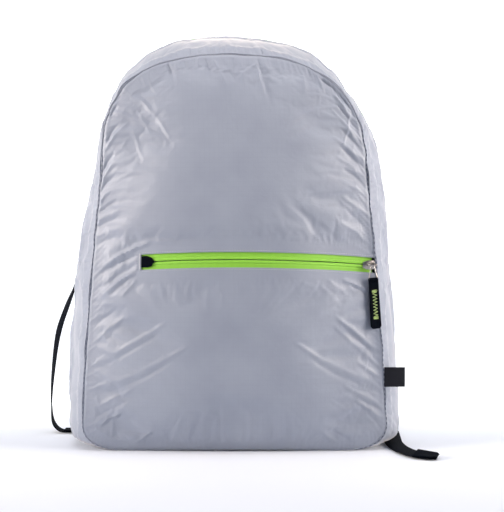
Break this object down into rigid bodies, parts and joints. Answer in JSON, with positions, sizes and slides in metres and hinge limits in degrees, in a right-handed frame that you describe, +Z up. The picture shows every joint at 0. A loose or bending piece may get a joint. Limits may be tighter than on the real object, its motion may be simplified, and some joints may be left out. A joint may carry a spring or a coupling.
{
  "type": "backpack",
  "caption": "Lightweight packable nylon backpack with an arched top, a green zipped front pocket with a webbing pull, a zipped top gusset, thin shoulder straps and a haul loop.",
  "frame": {"origin": "middle of the base panel's underside, on the floor", "axes": "+X to the right seen from the front, +Y from the front panel to the back panel, +Z up"},
  "size_m": [0.4234, 0.226, 0.4472],
  "materials": {
    "grey_nylon": "satin, thin plain-weave nylon",
    "green_zip_tape": "matte woven tape",
    "black_webbing": "matte woven webbing",
    "black_plastic": "satin",
    "nickel": "polished nickel plate"
  },
  "bodies": {
    "bag": {"front_panel": "grey_nylon", "back_panel": "grey_nylon", "base_panel": "grey_nylon", "side_panel_left": "grey_nylon", "side_panel_right": "grey_nylon", "gusset_front": "grey_nylon", "gusset_back": "grey_nylon", "main_zip": "green_zip_tape", "main_zip_slider_left": "black_webbing", "main_zip_slider_right": "black_webbing", "pocket_zip_tape_upper": "green_zip_tape", "pocket_zip_tape_lower": "green_zip_tape", "pocket_zip_end_tab": "black_webbing", "pocket_zip_slider": "nickel", "side_label": "black_webbing", "shoulder_strap_left": "grey_nylon", "shoulder_strap_right": "grey_nylon", "ladder_lock_left": "black_plastic", "ladder_lock_right": "black_plastic", "lower_webbing_left": "black_webbing", "lower_webbing_right": "black_webbing", "haul_loop": "black_webbing"},
    "zip_pull": {"pocket_zip_bail": "nickel", "pocket_zip_pull": "black_webbing"}
  },
  "joints": [
    {"name": "pocket_zip_pull_swing", "type": "hinge", "parent": "bag", "child": "zip_pull", "pos_m": [0.14641, -0.07146, 0.19784], "axis": [-0.9618, -0.2737, 0], "range_deg": [0, 150]}
  ]
}
